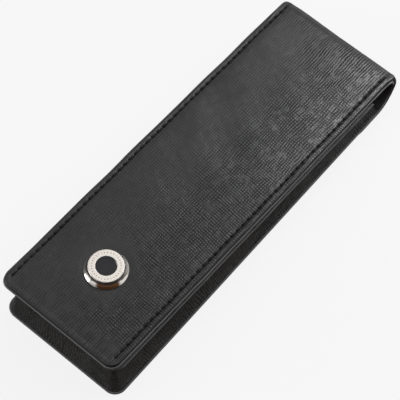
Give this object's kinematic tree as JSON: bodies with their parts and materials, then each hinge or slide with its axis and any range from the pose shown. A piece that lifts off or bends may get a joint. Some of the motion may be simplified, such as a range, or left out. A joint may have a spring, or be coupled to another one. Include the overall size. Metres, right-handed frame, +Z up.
{
  "type": "pen case",
  "caption": "Flat leather pouch for fountain pens with a full-length flap that folds over the front and closes with a round snap button.",
  "frame": {"origin": "middle of the bounding box in X and Y, on the surface the case lies on", "axes": "+X across the width, +Y along the length towards the folded end, +Z up from the back panel"},
  "size_m": [0.0542, 0.1616, 0.0274],
  "materials": {
    "grain_leather": "cross-grain embossed, satin",
    "gusset_leather": "cross-grain embossed, satin",
    "board": "matt grey board",
    "lining": "smooth matt lining leather",
    "thread": "waxed thread",
    "polished_metal": "polished",
    "ring_metal": "satin polished with engraved marks",
    "black_inlay": "polished black",
    "snap_metal": "nickel plate"
  },
  "bodies": {
    "pouch": {"back_leather": "grain_leather", "back_board": "board", "back_lining": "lining", "back_stitching": "thread", "left_gusset": "gusset_leather", "right_gusset": "gusset_leather", "bottom_gusset": "gusset_leather", "front_leather": "grain_leather", "front_board": "board", "front_lining": "lining", "front_stitching": "thread", "divider": "lining", "snap_stud": "snap_metal", "stud_rivet": "snap_metal"},
    "fold": {"fold_leather": "grain_leather", "fold_lining": "lining"},
    "flap": {"flap_leather": "grain_leather", "flap_board": "board", "flap_lining": "lining", "flap_stitching": "thread", "button_cap": "polished_metal", "button_ring": "ring_metal", "button_inlay": "black_inlay", "button_rivet": "snap_metal", "snap_socket": "snap_metal", "socket_spring": "snap_metal"}
  },
  "joints": [
    {"name": "fold_lower", "type": "hinge", "parent": "pouch", "child": "fold", "pos_m": [0, 0.07865, 0.0025], "axis": [-1, 0, 0], "range_deg": [0, 87.6]},
    {"name": "fold_upper", "type": "hinge", "parent": "fold", "child": "flap", "pos_m": [0, 0.07985, 0.0146], "axis": [-1, 0, 0], "range_deg": [0, 87.6]}
  ],
  "couplings": [
    {"joint": "fold_upper", "follows": "fold_lower", "ratio": 1}
  ]
}
